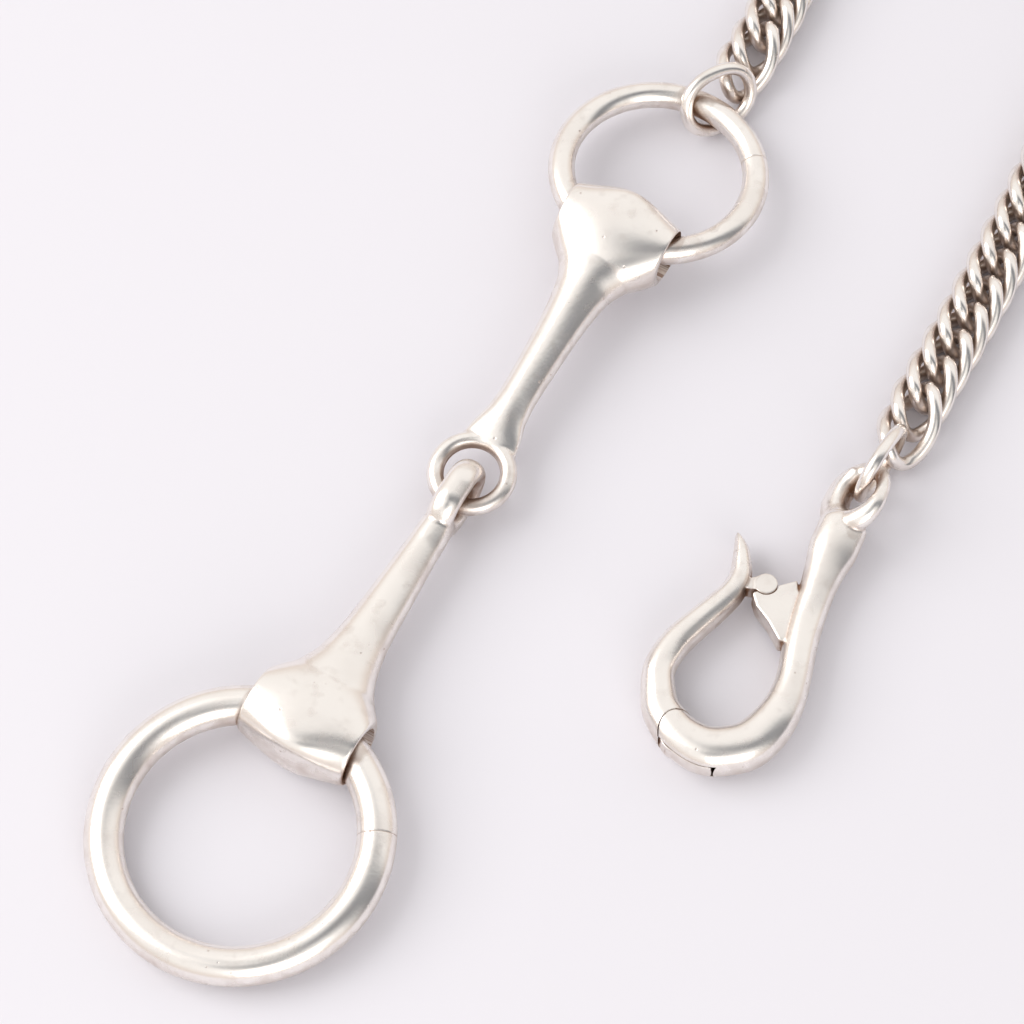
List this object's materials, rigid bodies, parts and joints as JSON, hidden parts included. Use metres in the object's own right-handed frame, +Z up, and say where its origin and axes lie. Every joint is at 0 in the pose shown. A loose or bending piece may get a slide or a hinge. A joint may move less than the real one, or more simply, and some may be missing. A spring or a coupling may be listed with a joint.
{
  "type": "miniature jointed loose ring snaffle bit with curb chain and hook clasp",
  "caption": "Miniature jointed snaffle bit in polished silver: trumpet-ended mouthpiece halves with loose rings, a double curb chain and a hinged hook clasp.",
  "frame": {"origin": "centre of the whole object's footprint, on the surface it lies on", "axes": "+Z up from that surface, +Y the long way of the laid-out object from the large ring towards the chain's loop, +X to the right"},
  "size_m": [0.1244, 0.1534, 0.0087],
  "materials": {
    "bit_silver": "polished sterling silver, softly worn, faint warm tarnish in the recesses",
    "chain_silver": "polished sterling silver wire, darker between the links",
    "clasp_silver": "polished cast sterling silver",
    "gate_pin_silver": "silver pin dressed flush",
    "spring_steel": "bright drawn spring wire"
  },
  "bodies": {
    "upper_mouthpiece": {"upper_mouthpiece": "bit_silver"},
    "lower_mouthpiece": {"lower_mouthpiece": "bit_silver"},
    "large_ring": {"large_ring": "bit_silver"},
    "small_ring": {"small_ring": "bit_silver"},
    "ring_link": {"ring_link": "chain_silver"},
    "chain_link_01": {"chain_link_01": "chain_silver"},
    "chain_link_02": {"chain_link_02": "chain_silver"},
    "chain_link_03": {"chain_link_03": "chain_silver"},
    "chain_link_04": {"chain_link_04": "chain_silver"},
    "chain_link_05": {"chain_link_05": "chain_silver"},
    "chain_link_06": {"chain_link_06": "chain_silver"},
    "chain_link_07": {"chain_link_07": "chain_silver"},
    "chain_link_08": {"chain_link_08": "chain_silver"},
    "chain_link_09": {"chain_link_09": "chain_silver"},
    "chain_link_10": {"chain_link_10": "chain_silver"},
    "chain_link_11": {"chain_link_11": "chain_silver"},
    "chain_link_12": {"chain_link_12": "chain_silver"},
    "chain_link_13": {"chain_link_13": "chain_silver"},
    "chain_link_14": {"chain_link_14": "chain_silver"},
    "chain_link_15": {"chain_link_15": "chain_silver"},
    "chain_link_16": {"chain_link_16": "chain_silver"},
    "chain_link_17": {"chain_link_17": "chain_silver"},
    "chain_link_18": {"chain_link_18": "chain_silver"},
    "chain_link_19": {"chain_link_19": "chain_silver"},
    "chain_link_20": {"chain_link_20": "chain_silver"},
    "chain_link_21": {"chain_link_21": "chain_silver"},
    "chain_link_22": {"chain_link_22": "chain_silver"},
    "chain_link_23": {"chain_link_23": "chain_silver"},
    "chain_link_24": {"chain_link_24": "chain_silver"},
    "chain_link_25": {"chain_link_25": "chain_silver"},
    "chain_link_26": {"chain_link_26": "chain_silver"},
    "chain_link_27": {"chain_link_27": "chain_silver"},
    "chain_link_28": {"chain_link_28": "chain_silver"},
    "chain_link_29": {"chain_link_29": "chain_silver"},
    "chain_link_30": {"chain_link_30": "chain_silver"},
    "chain_link_31": {"chain_link_31": "chain_silver"},
    "chain_link_32": {"chain_link_32": "chain_silver"},
    "chain_link_33": {"chain_link_33": "chain_silver"},
    "chain_link_34": {"chain_link_34": "chain_silver"},
    "chain_link_35": {"chain_link_35": "chain_silver"},
    "chain_link_36": {"chain_link_36": "chain_silver"},
    "chain_link_37": {"chain_link_37": "chain_silver"},
    "chain_link_38": {"chain_link_38": "chain_silver"},
    "chain_link_39": {"chain_link_39": "chain_silver"},
    "chain_link_40": {"chain_link_40": "chain_silver"},
    "chain_link_41": {"chain_link_41": "chain_silver"},
    "chain_link_42": {"chain_link_42": "chain_silver"},
    "chain_link_43": {"chain_link_43": "chain_silver"},
    "chain_link_44": {"chain_link_44": "chain_silver"},
    "chain_link_45": {"chain_link_45": "chain_silver"},
    "chain_link_46": {"chain_link_46": "chain_silver"},
    "chain_link_47": {"chain_link_47": "chain_silver"},
    "chain_link_48": {"chain_link_48": "chain_silver"},
    "chain_link_49": {"chain_link_49": "chain_silver"},
    "chain_link_50": {"chain_link_50": "chain_silver"},
    "clasp_link": {"clasp_link": "chain_silver"},
    "clasp_hook": {"clasp_hook": "clasp_silver", "gate_pin": "gate_pin_silver"},
    "clasp_gate": {"clasp_gate": "clasp_silver", "gate_spring": "spring_steel"}
  },
  "joints": [
    {"name": "mouthpiece_fold", "type": "hinge", "parent": "upper_mouthpiece", "child": "lower_mouthpiece", "pos_m": [-0.0264, -0.02577, 0.0036], "axis": [-0.8669, 0.4985, 0], "range_deg": [-60, 60]},
    {"name": "large_ring_turn", "type": "hinge", "parent": "lower_mouthpiece", "child": "large_ring", "pos_m": [-0.0407, -0.05065, 0.00388], "axis": [-0.8669, 0.4985, 0], "range_deg": [-120, 120]},
    {"name": "small_ring_turn", "type": "hinge", "parent": "upper_mouthpiece", "child": "small_ring", "pos_m": [-0.00936, 0.00474, 0.00534], "axis": [0.8738, -0.4863, 0], "range_deg": [-90, 90]},
    {"name": "ring_link_swing", "type": "hinge", "parent": "small_ring", "child": "ring_link", "pos_m": [0.00151, 0.02044, 0.00311], "axis": [0.7716, -0.6357, 0.021], "range_deg": [-25, 30]},
    {"name": "chain_01_bend", "type": "hinge", "parent": "ring_link", "child": "chain_link_01", "pos_m": [0.00482, 0.02289, 0.0016], "axis": [0.3899, 0.6978, 0.6009], "range_deg": [-15, 8]},
    {"name": "chain_02_bend", "type": "hinge", "parent": "chain_link_01", "child": "chain_link_02", "pos_m": [0.00569, 0.02935, 0.00221], "axis": [0, 0, -1], "range_deg": [-4, 3]},
    {"name": "chain_03_bend", "type": "hinge", "parent": "chain_link_02", "child": "chain_link_03", "pos_m": [0.00732, 0.03252, 0.0022], "axis": [0.8988, -0.4384, 0], "range_deg": [-3.5, 6]},
    {"name": "chain_04_bend", "type": "hinge", "parent": "chain_link_03", "child": "chain_link_04", "pos_m": [0.00879, 0.0358, 0.0022], "axis": [0, 0, 1], "range_deg": [-8, 1.5]},
    {"name": "chain_05_bend", "type": "hinge", "parent": "chain_link_04", "child": "chain_link_05", "pos_m": [0.00995, 0.0392, 0.0022], "axis": [-0.9652, 0.2617, 0], "range_deg": [-2.5, 2.5]},
    {"name": "chain_06_bend", "type": "hinge", "parent": "chain_link_05", "child": "chain_link_06", "pos_m": [0.01066, 0.04271, 0.0022], "axis": [0, 0, -1], "range_deg": [-2, 8]},
    {"name": "chain_07_bend", "type": "hinge", "parent": "chain_link_06", "child": "chain_link_07", "pos_m": [0.01099, 0.04629, 0.0022], "axis": [0.999, -0.0442, 0], "range_deg": [-2.5, 2.5]},
    {"name": "chain_08_bend", "type": "hinge", "parent": "chain_link_07", "child": "chain_link_08", "pos_m": [0.01116, 0.04988, 0.0022], "axis": [0, 0, 1], "range_deg": [-4.9, 8]},
    {"name": "chain_09_bend", "type": "hinge", "parent": "chain_link_08", "child": "chain_link_09", "pos_m": [0.01154, 0.05345, 0.0022], "axis": [-0.9868, 0.1619, 0], "range_deg": [-2.5, 2.5]},
    {"name": "chain_10_bend", "type": "hinge", "parent": "chain_link_09", "child": "chain_link_10", "pos_m": [0.01239, 0.05693, 0.0022], "axis": [0, 0, -1], "range_deg": [-8, 0.6]},
    {"name": "chain_11_bend", "type": "hinge", "parent": "chain_link_10", "child": "chain_link_11", "pos_m": [0.01374, 0.06024, 0.0022], "axis": [0.8949, -0.4462, 0], "range_deg": [-2.5, 2.5]},
    {"name": "chain_12_bend", "type": "hinge", "parent": "chain_link_11", "child": "chain_link_12", "pos_m": [0.01557, 0.06332, 0.0022], "axis": [0, 0, 1], "range_deg": [-0.6, 8]},
    {"name": "chain_13_bend", "type": "hinge", "parent": "chain_link_12", "child": "chain_link_13", "pos_m": [0.01784, 0.06608, 0.0022], "axis": [-0.7232, 0.6906, 0], "range_deg": [-2.5, 2.5]},
    {"name": "chain_14_bend", "type": "hinge", "parent": "chain_link_13", "child": "chain_link_14", "pos_m": [0.0205, 0.06848, 0.0022], "axis": [0, 0, -1], "range_deg": [-8, 0.6]},
    {"name": "chain_15_bend", "type": "hinge", "parent": "chain_link_14", "child": "chain_link_15", "pos_m": [0.02349, 0.07045, 0.0022], "axis": [0.4869, -0.8734, 0], "range_deg": [-2.5, 2.5]},
    {"name": "chain_16_bend", "type": "hinge", "parent": "chain_link_15", "child": "chain_link_16", "pos_m": [0.02674, 0.07196, 0.0022], "axis": [0, 0, 1], "range_deg": [-0.6, 8]},
    {"name": "chain_17_bend", "type": "hinge", "parent": "chain_link_16", "child": "chain_link_17", "pos_m": [0.03017, 0.07296, 0.0022], "axis": [-0.2072, 0.9783, 0], "range_deg": [-2.5, 2.5]},
    {"name": "chain_18_bend", "type": "hinge", "parent": "chain_link_17", "child": "chain_link_18", "pos_m": [0.03372, 0.07344, 0.0022], "axis": [0, 0, -1], "range_deg": [-8, 0.6]},
    {"name": "chain_19_bend", "type": "hinge", "parent": "chain_link_18", "child": "chain_link_19", "pos_m": [0.0373, 0.07338, 0.0022], "axis": [-0.091, -0.9959, 0], "range_deg": [-2.5, 2.5]},
    {"name": "chain_20_bend", "type": "hinge", "parent": "chain_link_19", "child": "chain_link_20", "pos_m": [0.04083, 0.07279, 0.0022], "axis": [0, 0, 1], "range_deg": [-0.6, 8]},
    {"name": "chain_21_bend", "type": "hinge", "parent": "chain_link_20", "child": "chain_link_21", "pos_m": [0.04423, 0.07167, 0.0022], "axis": [0.3811, 0.9245, 0], "range_deg": [-2.5, 2.5]},
    {"name": "chain_22_bend", "type": "hinge", "parent": "chain_link_21", "child": "chain_link_22", "pos_m": [0.04743, 0.07007, 0.0022], "axis": [0, 0, -1], "range_deg": [-8, 0.6]},
    {"name": "chain_23_bend", "type": "hinge", "parent": "chain_link_22", "child": "chain_link_23", "pos_m": [0.05035, 0.068, 0.0022], "axis": [-0.6371, -0.7707, 0], "range_deg": [-2.5, 2.5]},
    {"name": "chain_24_bend", "type": "hinge", "parent": "chain_link_23", "child": "chain_link_24", "pos_m": [0.05294, 0.06552, 0.0022], "axis": [0, 0, 1], "range_deg": [-0.6, 8]},
    {"name": "chain_25_bend", "type": "hinge", "parent": "chain_link_24", "child": "chain_link_25", "pos_m": [0.05512, 0.06268, 0.0022], "axis": [0.8364, 0.5482, 0], "range_deg": [-2.5, 2.5]},
    {"name": "chain_26_bend", "type": "hinge", "parent": "chain_link_25", "child": "chain_link_26", "pos_m": [0.05685, 0.05955, 0.0022], "axis": [0, 0, -1], "range_deg": [-8, 0.6]},
    {"name": "chain_27_bend", "type": "hinge", "parent": "chain_link_26", "child": "chain_link_27", "pos_m": [0.05809, 0.05619, 0.0022], "axis": [-0.961, -0.2766, 0], "range_deg": [-2.5, 2.5]},
    {"name": "chain_28_bend", "type": "hinge", "parent": "chain_link_27", "child": "chain_link_28", "pos_m": [0.05882, 0.05269, 0.0022], "axis": [0, 0, 1], "range_deg": [-0.6, 8]},
    {"name": "chain_29_bend", "type": "hinge", "parent": "chain_link_28", "child": "chain_link_29", "pos_m": [0.05902, 0.04911, 0.0022], "axis": [0.9998, -0.0195, 0], "range_deg": [-2.5, 2.5]},
    {"name": "chain_30_bend", "type": "hinge", "parent": "chain_link_29", "child": "chain_link_30", "pos_m": [0.05868, 0.04555, 0.0022], "axis": [0, 0, -1], "range_deg": [-8, 0.6]},
    {"name": "chain_31_bend", "type": "hinge", "parent": "chain_link_30", "child": "chain_link_31", "pos_m": [0.05782, 0.04207, 0.0022], "axis": [-0.9494, 0.314, 0], "range_deg": [-2.5, 2.5]},
    {"name": "chain_32_bend", "type": "hinge", "parent": "chain_link_31", "child": "chain_link_32", "pos_m": [0.05644, 0.03877, 0.0022], "axis": [0, 0, 1], "range_deg": [-0.6, 8]},
    {"name": "chain_33_bend", "type": "hinge", "parent": "chain_link_32", "child": "chain_link_33", "pos_m": [0.05459, 0.03571, 0.0022], "axis": [0.8143, -0.5804, 0], "range_deg": [-2.5, 2.5]},
    {"name": "chain_34_bend", "type": "hinge", "parent": "chain_link_33", "child": "chain_link_34", "pos_m": [0.0523, 0.03295, 0.0022], "axis": [0, 0, -1], "range_deg": [-8, 0.6]},
    {"name": "chain_35_bend", "type": "hinge", "parent": "chain_link_34", "child": "chain_link_35", "pos_m": [0.04966, 0.03052, 0.0022], "axis": [-0.6359, 0.7718, 0], "range_deg": [-4, 4]},
    {"name": "chain_36_bend", "type": "hinge", "parent": "chain_link_35", "child": "chain_link_36", "pos_m": [0.04687, 0.02825, 0.0022], "axis": [0, 0, 1], "range_deg": [-8, 6.2]},
    {"name": "chain_37_bend", "type": "hinge", "parent": "chain_link_36", "child": "chain_link_37", "pos_m": [0.04417, 0.02588, 0.0022], "axis": [0.6875, -0.7262, 0], "range_deg": [-4, 4]},
    {"name": "chain_38_bend", "type": "hinge", "parent": "chain_link_37", "child": "chain_link_38", "pos_m": [0.04169, 0.02328, 0.0022], "axis": [0, 0, -1], "range_deg": [-3.1, 8]},
    {"name": "chain_39_bend", "type": "hinge", "parent": "chain_link_38", "child": "chain_link_39", "pos_m": [0.03951, 0.02043, 0.0022], "axis": [-0.8252, 0.5648, 0], "range_deg": [-4, 4]},
    {"name": "chain_40_bend", "type": "hinge", "parent": "chain_link_39", "child": "chain_link_40", "pos_m": [0.03764, 0.01736, 0.0022], "axis": [0, 0, 1], "range_deg": [-8, 3.1]},
    {"name": "chain_41_bend", "type": "hinge", "parent": "chain_link_40", "child": "chain_link_41", "pos_m": [0.03602, 0.01416, 0.0022], "axis": [0.9025, -0.4306, 0], "range_deg": [-4, 4]},
    {"name": "chain_42_bend", "type": "hinge", "parent": "chain_link_41", "child": "chain_link_42", "pos_m": [0.03445, 0.01091, 0.0022], "axis": [0, 0, -1], "range_deg": [-8, 8]},
    {"name": "chain_43_bend", "type": "hinge", "parent": "chain_link_42", "child": "chain_link_43", "pos_m": [0.03286, 0.00769, 0.0022], "axis": [-0.8949, 0.4463, 0], "range_deg": [-6, 6]},
    {"name": "chain_44_bend", "type": "hinge", "parent": "chain_link_43", "child": "chain_link_44", "pos_m": [0.03124, 0.00447, 0.0022], "axis": [0, 0, 1], "range_deg": [-8, 8]},
    {"name": "chain_45_bend", "type": "hinge", "parent": "chain_link_44", "child": "chain_link_45", "pos_m": [0.02959, 0.00127, 0.0022], "axis": [0.887, -0.4618, 0], "range_deg": [-6, 6]},
    {"name": "chain_46_bend", "type": "hinge", "parent": "chain_link_45", "child": "chain_link_46", "pos_m": [0.02791, -0.00192, 0.0022], "axis": [0, 0, -1], "range_deg": [-8, 8]},
    {"name": "chain_47_bend", "type": "hinge", "parent": "chain_link_46", "child": "chain_link_47", "pos_m": [0.02621, -0.00509, 0.0022], "axis": [-0.8788, 0.4772, 0], "range_deg": [-6, 6]},
    {"name": "chain_48_bend", "type": "hinge", "parent": "chain_link_47", "child": "chain_link_48", "pos_m": [0.02448, -0.00824, 0.0022], "axis": [0, 0, 1], "range_deg": [-8, 8]},
    {"name": "chain_49_bend", "type": "hinge", "parent": "chain_link_48", "child": "chain_link_49", "pos_m": [0.02273, -0.01139, 0.0022], "axis": [0.8746, -0.4849, 0], "range_deg": [-3, 1.5]},
    {"name": "chain_50_bend", "type": "hinge", "parent": "chain_link_49", "child": "chain_link_50", "pos_m": [0.02106, -0.01465, 0.00233], "axis": [0, 0, -1], "range_deg": [-0.5, 3]},
    {"name": "clasp_link_swing", "type": "hinge", "parent": "chain_link_50", "child": "clasp_link", "pos_m": [0.01911, -0.02052, 0.00179], "axis": [0.717, 0.134, -0.684], "range_deg": [-4, 20]},
    {"name": "clasp_swing", "type": "hinge", "parent": "clasp_link", "child": "clasp_hook", "pos_m": [0.01564, -0.02367, 0.00164], "axis": [0.4502, 0.7264, -0.5193], "range_deg": [-3, 20]},
    {"name": "gate_hinge", "type": "hinge", "parent": "clasp_hook", "child": "clasp_gate", "pos_m": [-0.00385, -0.05103, 0.0024], "axis": [0, 0, 1], "range_deg": [0, 35], "stiffness_Nm_per_rad": 0.02, "springref_deg": -20.05}
  ]
}
